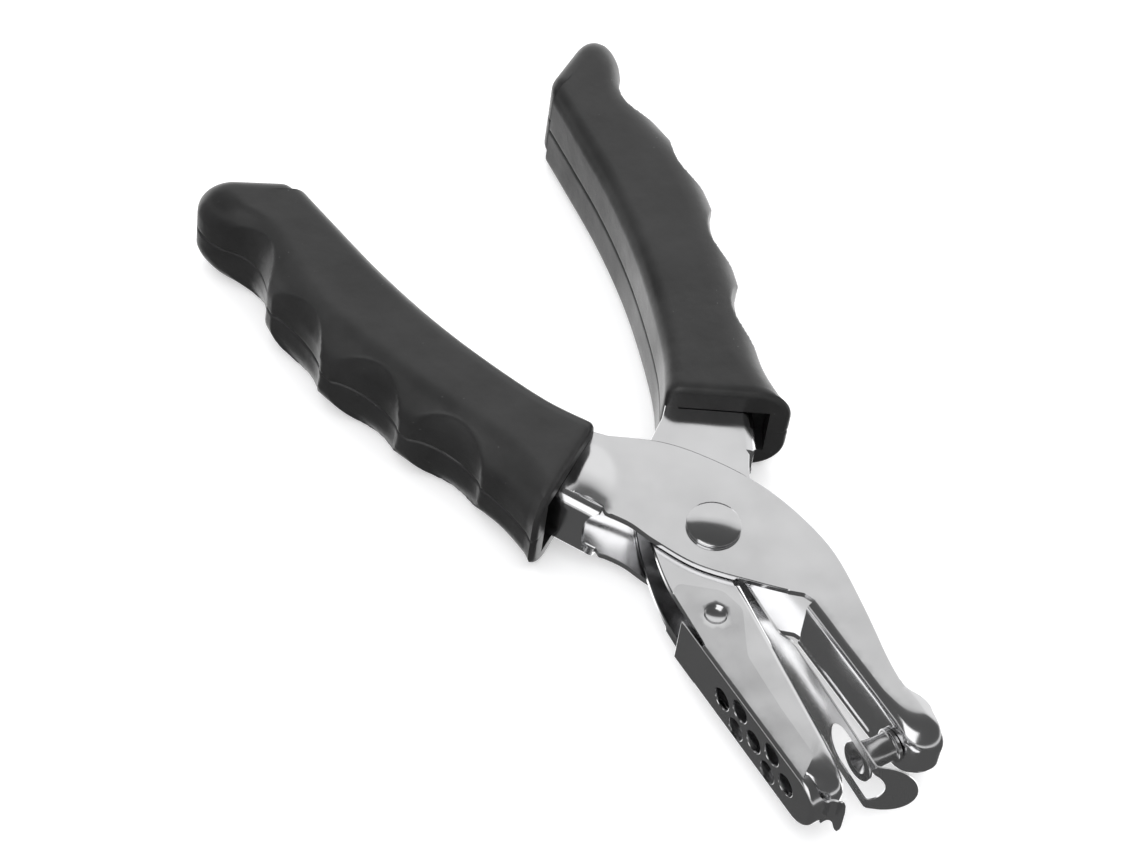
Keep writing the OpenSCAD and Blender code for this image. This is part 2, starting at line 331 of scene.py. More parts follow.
def piece(name, shell, body, node, material,
          thickness=0, edge=0, angle=20, weld=0.05, facing=(0, 0, 1), cutter=None):
    """A finished object that stands for a CAD node and rides on its body, made from a shell.

    A sheet is given as its outer face, with a thickness and with the edge that its rims are worn to.
    """
    obj = bpy.data.objects.new(name, surface(name, shell, weld, facing))
    bpy.context.scene.collection.objects.link(obj)
    if thickness:
        thicken(obj, thickness)
    if edge:
        wear(obj, edge)
    if cutter:
        drill(obj, cutter)
    obj.data.materials.clear()
    obj.data.materials.append(material)
    shade(obj, angle, by_area=edge > 0)
    obj.data.name = name
    if body:
        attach(obj, body)
    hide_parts(node)
    return obj


def flat(z):
    """Puts an outline at height z."""
    return lambda p: np.column_stack([p, np.full(len(p), z)])


def bend_rows(path, inner, radius, half, start=None, groove=None):
    """Rows of the web under an outer line: over one bend, down the wall, and round the other bend.

    inner is the line where the flat plates end, point for point with path, and radius the height of
    the bend. start(z) is how far along the path the wall begins at that height, and groove(z) how
    far it is set in towards inner.
    """
    run = lengths(path)
    total = run[-1]
    quarter = np.radians(np.linspace(0, 90, BEND_STEPS + 1))
    steps = [("top", a) for a in quarter]
    steps += [("wall", f) for f in np.linspace(1, -1, WALL_STEPS + 1)[1:-1]]
    steps += [("low", a) for a in quarter[::-1]]
    rows = []
    for kind, value in steps:
        if kind == "wall":
            z = value * (half - radius)
            share = 0
        else:
            z = half - radius * (1 - np.cos(value))
            z = z if kind == "top" else -z
            share = 1 - math.sin(value)
        first = start(float(z[0])) if start else 0
        s = first + run * (total - first) / total
        wall = at_length(path, s)
        plate = np.stack([np.interp(s, run, inner[:, k]) for k in (0, 1)], axis=1)
        at = wall + (plate - wall) * share
        if groove:
            way = (plate - wall) / np.linalg.norm(plate - wall, axis=1)[:, None]
            at = at + way * np.array([groove(v) for v in z])[:, None]
        rows.append(np.column_stack([at, z]))
    return rows


def plate_line(path, inward, radius, begin, line):
    """Where a flat plate ends: radius inside the path up to the length begin, then along a line."""
    run = lengths(path)
    out = path + inward * radius[:, None]
    late = run >= begin
    share = (run[late] - run[late][0]) / (run[-1] - run[late][0])
    out[late] = at_length(line, share * lengths(line)[-1])
    return out


# ---------------------------------------------------------------- materials


class Nodes:
    """A short way to write a node tree."""

    def __init__(self, name):
        self.material = bpy.data.materials.new(name)
        self.material.use_nodes = True
        self.tree = self.material.node_tree
        self.shader = self.tree.nodes["Principled BSDF"]
        self.where = self.add("ShaderNodeTexCoord").outputs["Object"]

    def add(self, kind, **settings):
        node = self.tree.nodes.new(kind)
        for key, value in settings.items():
            setattr(node, key, value)
        return node

    def join(self, a, b):
        self.tree.links.new(a, b)

    def scaled(self, scale, turn=(0, 0, 0)):
        """Object coordinates times scale, given per millimetre."""
        node = self.add("ShaderNodeMapping")
        node.inputs["Scale"].default_value = [s / MM for s in scale]
        node.inputs["Rotation"].default_value = [math.radians(a) for a in turn]
        self.join(self.where, node.inputs["Vector"])
        return node.outputs["Vector"]

    def noise(self, scale, detail=4, roughness=0.55, turn=(0, 0, 0)):
        node = self.add("ShaderNodeTexNoise")
        node.inputs["Scale"].default_value = 1
        node.inputs["Detail"].default_value = detail
        node.inputs["Roughness"].default_value = roughness
        self.join(self.scaled(scale, turn), node.inputs["Vector"])
        return node.outputs["Fac"]

    def spread(self, value, low, high, to_low, to_high):
        """value from low..high, spread over to_low..to_high."""
        node = self.add("ShaderNodeMapRange")
        node.inputs["From Min"].default_value = low
        node.inputs["From Max"].default_value = high
        node.inputs["To Min"].default_value = to_low
        node.inputs["To Max"].default_value = to_high
        self.join(value, node.inputs["Value"])
        return node.outputs["Result"]

    def math(self, operation, a, b):
        node = self.add("ShaderNodeMath", operation=operation)
        for k, v in enumerate((a, b)):
            if isinstance(v, (int, float)):
                node.inputs[k].default_value = v
            else:
                self.join(v, node.inputs[k])
        return node.outputs[0]

    def mix(self, fac, a, b):
        node = self.add("ShaderNodeMix", data_type="RGBA")
        self.join(fac, node.inputs["Factor"])
        for socket, colour in ((node.inputs["A"], a), (node.inputs["B"], b)):
            if isinstance(colour, tuple):
                socket.default_value = (*colour, 1)
            else:
                self.join(colour, socket)
        return node.outputs["Result"]

    def bump(self, height, strength, distance, under=None):
        node = self.add("ShaderNodeBump")
        node.inputs["Strength"].default_value = strength
        node.inputs["Distance"].default_value = distance * MM
        self.join(height, node.inputs["Height"])
        if under:
            self.join(under, node.inputs["Normal"])
        return node.outputs["Normal"]


def grey(v):
    """A grey with a trace of blue."""
    return (v, v, v * 1.01)


def metal(name, light, dark, rough, wave=0.0, scratches=0.35, smudge=0.5):
    """Bright metal: a faint waviness, fine scratches in two directions, and dull smudges."""
    n = Nodes(name)
    cloud = n.noise((0.12, 0.12, 0.12), detail=5)
    fine = n.noise((9, 9, 9), detail=3)
    lines_a = n.noise((0.25, 22, 22), detail=2, turn=(0, 0, 32))
    lines_b = n.noise((18, 0.3, 18), detail=2, turn=(0, 0, -20))
    cut_a = n.spread(lines_a, 0.62, 0.72, 0, 1)
    cut_b = n.spread(lines_b, 0.64, 0.72, 0, 1)
    cuts = n.math("MAXIMUM", cut_a, cut_b)
    tone = n.math("MULTIPLY", n.spread(cloud, 0.35, 0.65, 0, 1), smudge)
    n.join(n.mix(tone, grey(light), grey(dark)), n.shader.inputs["Base Color"])
    dull = n.spread(cloud, 0.3, 0.7, rough * 0.75, rough * 1.5)
    scuffed = n.math("ADD", dull, n.math("MULTIPLY", cuts, 0.08 * scratches))
    n.join(n.math("ADD", scuffed, n.spread(fine, 0.3, 0.7, 0, 0.03)), n.shader.inputs["Roughness"])
    n.shader.inputs["Metallic"].default_value = 1
    waves = n.bump(n.noise((0.1, 0.1, 0.1), detail=1), 0.6, wave)
    n.join(n.bump(cuts, -0.12 * scratches, 0.02, n.bump(fine, 0.05, 0.01, waves)), n.shader.inputs["Normal"])
    return n.material


def rubber(name):
    """Soft black vinyl: a fine grain, a few dust specks and a satin sheen that varies."""
    n = Nodes(name)
    grain = n.noise((7, 7, 7), detail=6, roughness=0.65)
    cloud = n.noise((0.09, 0.09, 0.09), detail=4)
    speck = n.add("ShaderNodeTexVoronoi")
    speck.inputs["Scale"].default_value = 1
    n.join(n.scaled((0.9, 0.9, 0.9)), speck.inputs["Vector"])
    dust = n.spread(speck.outputs["Distance"], 0.05, 0.09, 1, 0)
    rare = n.math("GREATER_THAN", n.noise((0.6, 0.6, 0.6), detail=1), 0.62)
    dust = n.math("MULTIPLY", dust, rare)
    base = n.mix(n.spread(cloud, 0.3, 0.7, 0, 1), grey(0.014), grey(0.026))
    base = n.mix(n.math("MULTIPLY", dust, 0.35), base, grey(0.3))
    n.join(base, n.shader.inputs["Base Color"])
    n.join(n.math("ADD", n.spread(cloud, 0.3, 0.7, 0.34, 0.46), n.spread(grain, 0.3, 0.7, -0.05, 0.06)),
           n.shader.inputs["Roughness"])
    n.shader.inputs["Specular IOR Level"].default_value = 0.62
    wave = n.bump(cloud, 0.5, 0.5)
    n.join(n.bump(grain, 0.35, 0.05, wave), n.shader.inputs["Normal"])
    return n.material


PLATED = metal("plated_steel", 0.8, 0.74, 0.12, wave=0.2, scratches=0.6, smudge=0.4)
RIVET = metal("plated_rivet", 0.72, 0.6, 0.11, wave=0.5, scratches=0.6)
TOOL = metal("turned_steel", 0.6, 0.42, 0.2, scratches=0.8)
STRIP = metal("spring_strip", 0.78, 0.6, 0.2, wave=0.6, scratches=1.6)
COVER = metal("plated_cover", 0.74, 0.64, 0.15, wave=0.25, scratches=0.5)
WIRE = metal("spring_wire", 0.5, 0.4, 0.22)
RUBBER = rubber("black_vinyl")

# ---------------------------------------------------------------- levers

HANDLE_PALM = spline([(-4.8, 20.9), (-9.6, 27), (-15.3, 40), (-18.6, 50), (-20.7, 61), (-22.2, 73)])
HANDLE_WEB = spline([(-14, 9.3), (-17.2, 15.2), (-21, 22.5), (-24.3, 30.5), (-27.6, 40), (-29.8, 50),
                     (-31, 73)])
BELLY = spline([(3.6, -14.6), (0.2, -11.2), (-5.6, -4.8), (-8.8, 1.6), (-10.4, 6), (-12.4, 9.2)])
DIE_BELLY = mirrored(spline([(-5.4, -5.3), (-8.6, 1.2), (-10.4, 6), (-12.4, 9.2)]))
RELIEF_DEPTH = 1.8
RELIEF_MARGIN = 0.5
PUNCH_HANDLE_BEND = 1.9
DIE_HANDLE_BEND = 1.8
DIMPLE_HOLE_R = 1.25


def relief(half):
    """The round cut in the end of a handle's web: how far back the web starts at height z."""
    reach = half - RELIEF_MARGIN

    def start(z):
        return RELIEF_DEPTH * math.sqrt(max(0, 1 - (z / reach) ** 2))
    return start


def jaw_rim(z):
    """The shallow groove along the lower bend of the punch's jaw: how far in it is at height z."""
    depth, level, width = 0.3, -3.0, 0.3
    return depth * math.exp(-(((z - level) / width) ** 2))


def emboss(points):
    """Height of the rib pressed into the punch lever's cheek where the handle begins."""
    middle = [-11.3, 14.6]
    way = np.array([0.5, 0.866])
    long, wide, height = 6.6, 3.3, 0.7
    rel = points - middle
    along = rel @ way / long
    across = (rel[:, 0] * way[1] - rel[:, 1] * way[0]) / wide
    r2 = along**2 + across**2
    return height * np.clip(1 - r2, 0, None) ** 1.25


def punch_lever():
    """One sheet: a cheek above and below, the web along the handle, and the web round the jaw's nose."""
    handle = resampled(HANDLE_WEB, HANDLE_STEP)
    handle_r = np.full(len(handle), PUNCH_HANDLE_BEND)
    jaw = resampled(spline([(4.4, -17.6), (4.4, -26), (4.4, -34), (4.5, -40.4), (4.75, -42.6), (5.8, -44.2),
                            (7.3, -45), (8.9, -45.1), (10.2, -44.3), (11.1, -42.9), (11.5, -41.2),
                            (11.6, -39.8), (11.1, -38.2), (9.9, -36.9), (8.9, -35.8)]), JAW_STEP)
    # The bend widens into a dome round the nose: shares of the way round it, and radii there
    dome_from = 17.2
    run = (lengths(jaw) - dome_from) / (lengths(jaw)[-1] - dome_from)
    jaw_r = np.interp(run, [0, 0.23, 0.4, 0.53, 0.7, 0.85, 1], [1.4, 2, 3.3, 3.8, 3.6, 2.4, 0.6])
    jaw_plate = plate_line(jaw, left_of(jaw), jaw_r, dome_from, spline([
        (5.8, -34.8), (6.3, -37.4), (6.9, -39), (7.8, -40.1), (8.6, -40.3), (8.8, -39), (8.8, -37.2),
        (8.75, -35.6)]))
    back = spline([(-4.8, 20.9), (1.7, 16.2), (6.2, 10.6), (10, 3.6), (12.2, -4), (12.9, -12),
                   (11.4, -21.5), (9.4, -30.5), (8.75, -35)])
    handle_plate = handle - left_of(handle) * handle_r[:, None]
    outline = np.vstack([
        handle_plate,
        HANDLE_PALM[::-1],
        back[1:],
        jaw_plate[::-1],
        fillet((5.7, -17.6), (5.1, -15.8), BELLY[0], 1.2),
        BELLY[1:],
    ])
    cheek = filled(outline, [circle(0, 0, SHANK_R)], FILL)
    shell = Shell()
    shell.plate(cheek, lambda p: np.column_stack([p, PUNCH_HALF + emboss(p)]))
    shell.plate(cheek, flat(-PUNCH_HALF))
    shell.grid(bend_rows(handle, handle_plate, handle_r, PUNCH_HALF, start=relief(PUNCH_HALF)))
    shell.grid(bend_rows(jaw, jaw_plate, jaw_r, PUNCH_HALF, groove=jaw_rim))
    piece("punch_lever_sheet", shell, "punch_lever", "punch_lever", PLATED,
          thickness=SHEET, edge=0.16)


def die_lever():
    """One sheet like the punch lever's, whose web round the jaw is pierced as the die."""
    handle = resampled(mirrored(HANDLE_WEB), HANDLE_STEP)
    handle_r = np.full(len(handle), DIE_HANDLE_BEND)
    die = resampled(np.vstack([
        from_die(pts((0, -9.8), (0, -42.4))),
        spline([from_die((0, -43.2)), (-6.6, -43.9), (-7.7, -44.4), (-9.1, -44.2), (-10.3, -43.2),
                (-11, -41.8), (-11.15, -40.2), (-11.2, -38.9)]),
    ]), JAW_STEP)
    # As on the punch lever: shares of the way round the nose, and radii there
    dome_from = 27.8
    run = (lengths(die) - dome_from) / (lengths(die)[-1] - dome_from)
    die_r = np.interp(run, [0, 0.17, 0.28, 0.4, 0.52, 0.65, 0.8, 1], [1.1, 1.3, 2, 3.2, 3.9, 3.9, 3, 0.8])
    die_plate = plate_line(die, -left_of(die), die_r, dome_from, spline([
        from_die((-1.1, -37.6)), (-6.9, -38.2), (-8.2, -38.6), (-9.8, -38.7), (-10.8, -38.6),
        (-11.2, -38.4)]))
    back = spline([(4.8, 20.9), (-2.6, 15), (-6.6, 8.4), (-9.2, 1.2), (-10.9, -6), (-11.2, -14)])
    handle_plate = handle + left_of(handle) * handle_r[:, None]
    outline = np.vstack([
        handle_plate,
        mirrored(HANDLE_PALM)[::-1],
        back[1:],
        pts((-11.2, -30)),
        die_plate[::-1],
        fillet(die_plate[0], from_die((-1.1, -8.4)), DIE_BELLY[0], 1),
        DIE_BELLY,
    ])
    cheek = filled(outline, [circle(0, 0, SHANK_R), circle(*DIMPLE, DIMPLE_HOLE_R)])
    shell = Shell()
    shell.plate(cheek, flat(DIE_HALF))
    shell.plate(cheek, flat(-DIE_HALF))
    shell.grid(bend_rows(handle, handle_plate, handle_r, DIE_HALF, start=relief(DIE_HALF)))
    shell.grid(bend_rows(die, die_plate, die_r, DIE_HALF))
    piece("die_lever_sheet", shell, "die_lever", "die_lever", PLATED,
          thickness=SHEET, edge=0.14, cutter=die_hole())


def die_hole():
    """The round cutter of the die's hole, which stays clear of the cheeks' inside."""
    middle = from_die((0, -PUNCH_REACH))
    way = from_die((1, 0))
    ring = circle(0, 0, DIE_HOLE_R, 72)
    behind, ahead = -1.3, 1.5
    ends = []
    for depth in (behind, ahead):
        plan = middle + way * depth + ring[:, :1] * from_die((0, 1))
        ends.append(on_pivot(np.column_stack([plan, ring[:, 1]])))
    n = len(ring)
    faces = [(i, (i + 1) % n, n + (i + 1) % n, n + i) for i in range(n)]
    faces += [tuple(range(n))[::-1], tuple(range(n, 2 * n))]
    mesh = bpy.data.meshes.new("die_hole")
    mesh.from_pydata([tuple(v) for v in np.vstack(ends)], [], faces)
    cutter = bpy.data.objects.new("die_hole", mesh)
    bpy.context.scene.collection.objects.link(cutter)
    return cutter


# ---------------------------------------------------------------- turned pieces

# A point on the axis is a ring of this radius
TIP_R = 0.001


def turned_rows(profile, place):
    """Rows of a surface of revolution: profile is (radius, height), place() puts it in space."""
    a = np.linspace(0, 2 * math.pi, ROUND_STEPS, endpoint=False)
    rows = []
    for r, h in profile:
        rows.append(place(np.column_stack([r * np.cos(a), r * np.sin(a), np.full(len(a), h)])))
    return rows


def dome(r, rim, height):
    """Profile of a rivet's head from the plate up to its top."""
    edge = 0.12
    ball = (r * r + height * height) / (2 * height)
    half = math.asin(r / ball)
    out = [(r - 0.05, 0), (r, 0.05), (r, rim - edge), (r - 0.03, rim - edge * 0.4), (r - edge, rim)]
    for k in range(1, DOME_STEPS + 1):
        a = half * (1 - k / DOME_STEPS) * (1 - edge / r)
        out.append((max(ball * math.sin(a), TIP_R), rim + height - ball * (1 - math.cos(a))))
    return out


def pivot_rivet():
    """A wide head above, a smaller one below, and the shank between them."""
    into_head = 0.02
    shank = [(SHANK_R, -PUNCH_HALF - into_head), (SHANK_R, PUNCH_HALF + into_head)]
    shell = Shell()
    shell.grid(turned_rows(dome(4, 0.6, 0.8), lambda p: p + [0, 0, PUNCH_HALF]), closed=True)
    shell.grid(turned_rows(dome(3.4, 0.3, 0.7), lambda p: p * [1, 1, -1] - [0, 0, PUNCH_HALF]), closed=True)
    shell.grid(turned_rows(shank, lambda p: p), closed=True)
    piece("rivet", shell, "punch_lever", "pivot_rivet", RIVET, angle=50)


def punch_pin():
    """The hollow-ground face, the waist, the collar before the web, and the riveted end behind it."""
    collar = 6.0
    back = collar + SHEET
    waist_r, collar_r, hole_r = 2.15, 2.6, 1.6
    face = [(TIP_R, 1.5), (0.35, 1.42), (1.7, 0.12), (1.82, 0.02), (PUNCH_R - 0.08, 0), (PUNCH_R, 0.07)]
    waist = spline([(PUNCH_R, 0.5), (2.62, 1.2), (2.32, 2.2), (waist_r, 3.4), (waist_r, collar - 0.75)], 6)
    rest = [(2.2, collar - 0.66), (2.5, collar - 0.6), (collar_r, collar - 0.5), (collar_r, collar),
            (hole_r, collar), (hole_r, back), (2.2, back), (2.3, back + 0.1), (2.05, back + 0.5),
            (1.8, back + 0.6), (TIP_R, back + 0.6)]

    def place(p):
        return np.column_stack([p[:, 2] + PUNCH_FACE_X, p[:, 0] - PUNCH_REACH, p[:, 1]])

    shell = Shell()
    shell.grid(turned_rows([*face, *waist, *rest], place), closed=True)
    piece("punch", shell, "punch_lever", "punch_pin", TOOL, angle=35)


def wire_rows(centre, radius):
    """Rings of 12 points round the line that a wire follows."""
    way = np.gradient(centre, axis=0)
    way /= np.linalg.norm(way, axis=1)[:, None]
    side = np.cross(way, [0, 0, 1])
    side /= np.linalg.norm(side, axis=1)[:, None]
    up = np.cross(side, way)
    a = np.linspace(0, 2 * math.pi, 12, endpoint=False)
    return [c + radius * (np.cos(a)[:, None] * s + np.sin(a)[:, None] * u)
            for c, s, u in zip(centre, side, up)]


def return_spring():
    """The coil round the bush, and its two legs, as one wire in a fixed shape."""
    wire = 0.45
    coil = BUSH_R + wire + 0.3
    turns, coil_steps, leg_steps = 2, 160, 30
    low = -2.55
    high = low + turns * 2 * wire
    leg, length = 53.6, 21.2
    start = leg - 90
    sweep = 360 * turns + (180 - 2 * start)
    centre = []
    out = turned((1, 0), leg)
    at = turned((coil, 0), start)
    for s in np.linspace(length, 0, leg_steps, endpoint=False):
        centre.append((*(at + out * s), low))
    for k in range(coil_steps + 1):
        share = k / coil_steps
        centre.append((*turned((coil, 0), start - sweep * share), low + (high - low) * share))
    end = np.array(centre[-1][:2])
    out = turned((-1, 0), -leg)
    for s in np.linspace(0, length, leg_steps + 1)[1:]:
        centre.append((*(end + out * s), high))
    rows = wire_rows(np.array(centre), wire)
    shell = Shell()
    shell.grid(rows, closed=True)
    shell.fan(rows[0])
    shell.fan(rows[-1])
    obj = piece("spring_wire_coil", shell, None, "return_spring", WIRE, angle=60)
    near = on_pivot([(-3.0, 3.0, high)])[0]
    far = on_pivot([(-14.0, 13.0, high)])[0]
    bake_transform(obj)


# ---------------------------------------------------------------- stripper plate

STRIP_TILT = 3.6
STRIP_X = 0.4
STRIP_T = 0.35
FOLD = 44.2
FOLD_ANGLE = 57


def folded(p):
    """The leaf laid out flat, (distance from the pivot, z), folded into its tongue and put in place."""
    curl = 0.9
    angle = math.radians(FOLD_ANGLE)
    v = p[:, 0]
    bent = np.clip((v - FOLD) / curl, 0, angle)
    past = np.clip(v - FOLD - angle * curl, 0, None)
    x = STRIP_X + curl * (1 - np.cos(bent)) + past * np.sin(bent)
    y = -(np.minimum(v, FOLD) + curl * np.sin(bent) + past * np.cos(bent))
    plan = turned(np.column_stack([x, y]), -STRIP_TILT)
    return np.column_stack([plan, p[:, 1]])


def stripper_plate():
    """A narrow arm that widens into the leaf with the punch's window, and an eye round the bush."""
    half = 5.1
    arm_low, arm_high = -2.65, 2.85
    eye_r, eye_low = 3.1, 0.4
    outer = np.vstack([
        pts((3.0, arm_high), (3.0, eye_low)),
        fillet((3.0, eye_low), (6, eye_low), (6, arm_low), 0.6),
        fillet((6, eye_low), (6, arm_low), (18, arm_low), 0.6),
        fillet((12, arm_low), (18.5, arm_low), (22, -half), 1.5),
        fillet((18.5, arm_low), (22, -half), (30, -half), 4),
        np.column_stack([np.arange(26, 46.2, 0.4), np.full(51, -half)]),
        [(46.2 + half * math.sin(a), -half * math.cos(a)) for a in np.linspace(0.04, math.pi - 0.04, 44)],
        np.column_stack([np.arange(46, 25.8, -0.4), np.full(51, half)]),
        fillet((30, half), (22, half), (18.5, arm_high), 4),
        fillet((22, half), (18.5, arm_high), (12, arm_high), 1.5),
    ])
    window_half = 3.5
    window = np.vstack([
        [(37.4 - 3.5 * math.sin(a), window_half * math.cos(a)) for a in np.linspace(0, math.pi, 28)],
        [(43.4 + 3.3 * math.sin(a), -window_half * math.cos(a)) for a in np.linspace(0, math.pi, 28)],
    ])
    shell = Shell()
    shell.plate(filled(outer, [window], FILL), folded)
    a = np.radians(np.linspace(-84, 250, 60))
    loop = np.column_stack([eye_r * np.cos(a), eye_r * np.sin(a)])
    shell.grid([np.column_stack([loop, np.full(len(loop), z)]) for z in np.linspace(eye_low, arm_high, 5)])
    piece("stripper_leaf", shell, "stripper", "stripper_plate", STRIP,
          thickness=STRIP_T, edge=0.07, facing=(1, 0, 0))


# ---------------------------------------------------------------- chip cover

COVER_X = -12.6
COVER_HALF = 4.6
COVER_T = 0.35
COVER_BEND = 0.7
COVER_REAR = -11.2
COVER_RELIEF = -16.4
COVER_NOSE = -45.0
NOSE_R = 4.0
WINDOW_R = 1.75
BOWL_R = 1.7
BOWL_DEPTH = 0.75


def cover_windows():
    """Seven round windows (y, z): one on the middle line, then two beside it, and so on."""
    first, pitch, aside = -22.7, 4, 2.2
    holes = []
    for i in range(5):
        for side in ([0] if i % 2 == 0 else [-1, 1]):
            holes.append(circle(first - pitch * i, side * aside, WINDOW_R, 36))
    return holes


def cover_web(shell, rim, inward):
    """The flat web with its windows, and the bend round it down to the rim."""
    rear_half = COVER_HALF - 0.35
    outline = np.vstack([
        rim + inward * COVER_BEND,
        pts((COVER_RELIEF, -rear_half), (COVER_REAR, -rear_half), (COVER_REAR, rear_half),
            (COVER_RELIEF, rear_half)),
    ])
    shell.plate(filled(outline, cover_windows()), lambda p: np.column_stack([np.full(len(p), COVER_X), p]))
    rows = []
    for a in np.radians(np.linspace(0, 90, 7)):
        at = rim + inward * COVER_BEND * (1 - math.sin(a))
        rows.append(np.column_stack([np.full(len(at), COVER_X + COVER_BEND * (1 - math.cos(a))), at]))
    shell.grid(rows)


def cover_wall(shell, arc):
    """The wall round the nose: shallow beside the flanges, deeper where the neck leaves it."""
    shallow, deeper, neck_half = 0.9, 1.7, 2.6
    reach = shallow + deeper * np.exp(-((arc[:, 1] / neck_half) ** 4))
    shell.grid([np.column_stack([COVER_X + COVER_BEND + reach * f, arc]) for f in np.linspace(0, 1, 5)])


def cover_flange(shell, fold_y, side):
    """A flange with its ear, and the bowl pressed into the ear over the die lever's dimple."""
    fold = np.column_stack([np.full(len(fold_y), COVER_X + COVER_BEND), fold_y])
    ear = np.vstack([
        fold[::-1],
        fillet((-11.9, -17), (-11.75, -15.6), (-11, -6.4), 0.3),
        fillet((-11.9, -15.6), (-11, -6.4), (-9.6, -5.6), 0.8),
        fillet((-11, -6.4), (-9.6, -5.6), (-4.6, -9.6), 1.2),
        fillet((-9.6, -5.6), (-4.6, -9.6), (-3.8, -13.6), 2.4),
        fillet((-4.6, -9.6), (-3.8, -13.6), (-7.6, -20.6), 2),
        fillet((-3.8, -13.6), (-7.6, -20.6), (-8.3, -30), 4),
        pts((-8.3, -30)),
        fillet((-8.3, -30), (-8.5, -38.6), (-11.4, -40.8), 1.4),
    ])
    shell.plate(filled(ear, [circle(*DIMPLE, BOWL_R, 36)], FILL), flat(side * COVER_HALF))
    bowl = []
    for f in np.linspace(1, 0, 9):
        ring = circle(*DIMPLE, max(BOWL_R * f, 0.01), 36)
        sunk = BOWL_DEPTH * (1 - f * f) ** 0.7
        bowl.append(flat(side * (COVER_HALF - sunk))(ring))
    shell.grid(bowl, closed=True)


def cover_neck(shell):
    """The neck that leaves the wall at the nose, and the thumb lip it turns into."""
    corner = (-10.4, COVER_NOSE + 0.02)
    path = resampled(np.vstack([
        pts(corner),
        fillet(corner, (-8.9, COVER_NOSE + 0.02), (-8.9, -47), 0.8),
        pts((-8.9, -47.1)),
    ]), 0.12)
    run = lengths(path)
    # Distances along the neck, and half its width there
    half = np.interp(run, [0, 0.4, 1.4, 1.8, 2.2, 2.6, run[-1] - 0.7, run[-1] - 0.25, run[-1]],
                     [2.6, 2.4, 2.4, 2.6, 3.2, 3.4, 3.4, 3.1, 2.4])
    shell.grid([np.column_stack([path, half * f]) for f in np.linspace(1, -1, 13)])


def chip_cover():
    """The pan laid out in (y, z): one rim round the nose, and what is folded up from it."""
    straight = resampled(pts((COVER_RELIEF, COVER_HALF), (COVER_NOSE + NOSE_R, COVER_HALF)), 0.9)
    corner = fillet((COVER_NOSE + 9, COVER_HALF), (COVER_NOSE, COVER_HALF), (COVER_NOSE, 0), NOSE_R, 18)
    half_rim = np.vstack([straight[:-1], corner])
    rim = np.vstack([half_rim, half_rim[::-1] * [1, -1]])
    first, last = len(straight) - 1, len(rim) - len(straight) + 1
    shell = Shell()
    cover_web(shell, rim, left_of(rim))
    cover_wall(shell, rim[first:last])
    for side in (1, -1):
        cover_flange(shell, straight[:, 0], side)
    cover_neck(shell)
    piece("cover_pan", shell, "chip_cover", "chip_cover", COVER,
          thickness=COVER_T, edge=0.13)


# ---------------------------------------------------------------- grips

GRIP_PALM = spline([(-5.9, 22.4), (-10, 29.5), (-14, 40), (-17, 50), (-19.3, 61), (-20.8, 72), (-22, 82)], 20)
GRIP_FINGERS = spline([(-21.9, 12.2), (-22.8, 21), (-26.2, 30.5), (-29, 38), (-31.6, 46), (-33.9, 54),
                       (-35, 62), (-34.6, 70), (-34, 77.5), (-36.2, 83), (-36.5, 86.6), (-34.9, 89.4)], 20)
SCOOPS = (30.5, 45.0, 60.0, 74.5)
SCOOP_REACH = 6.2
SCOOP_DEPTH = 1.7
PALM_R = 2.6
FINGER_R = 5.6
MOUTH_R = 1.1
TAIL_R = 2.4
HANDLE_GAP = 0.15


def grip_section(width, shrink, y):
    """Upper half of a section, from the palm's seam over the top to the fingers' seam."""
    top = GRIP_HALF - shrink
    palm_r, finger_r = max(PALM_R - shrink, 0.4), max(FINGER_R - shrink, 0.4)
    a = np.radians(np.linspace(180, 90, 14))
    palm = np.column_stack([shrink + palm_r * (1 + np.cos(a)), top - palm_r * (1 - np.sin(a))])
    a = np.radians(np.linspace(90, 0, 22))
    fingers = np.column_stack([width - shrink - finger_r * (1 - np.cos(a)), top - finger_r * (1 - np.sin(a))])
    lid = np.linspace(palm[-1], fingers[0], 10)[1:-1]
    climb = np.array([0, 0.03, 0.07, 0.14, 0.3, 0.5, 0.75])
    low_palm = np.column_stack([np.full(len(climb), shrink), palm[0][1] * climb])
    low_fingers = np.column_stack([np.full(len(climb), width - shrink), fingers[-1][1] * climb[::-1]])
    out = np.vstack([low_palm, palm, lid, fingers, low_fingers])
    out[:, 0] += seam(out, width)
    out[:, 0] -= scoops(out, width, y)
    return out


def seam(section, width):
    """How far both sides of a section turn in at mid height, where the halves meet."""
    depth, reach = 0.3, 0.17
    lip = depth * np.exp(-((section[:, 1] / reach) ** 2))
    return np.where(section[:, 0] < width / 2, lip, -lip)


def scoops(section, width, y):
    """How far the fingers' side of a section at y is pushed in by the finger scoops."""
    push = np.zeros(len(section))
    fade = np.clip((section[:, 0] - width * 0.45) / (width * 0.2), 0, 1)
    for centre in SCOOPS:
        u = (y - centre) / SCOOP_REACH
        shape = 1 - u * u - (section[:, 1] / (GRIP_HALF - 0.7)) ** 4
        push += SCOOP_DEPTH * np.clip(shape, 0, 1) ** 0.7 * fade
    return push


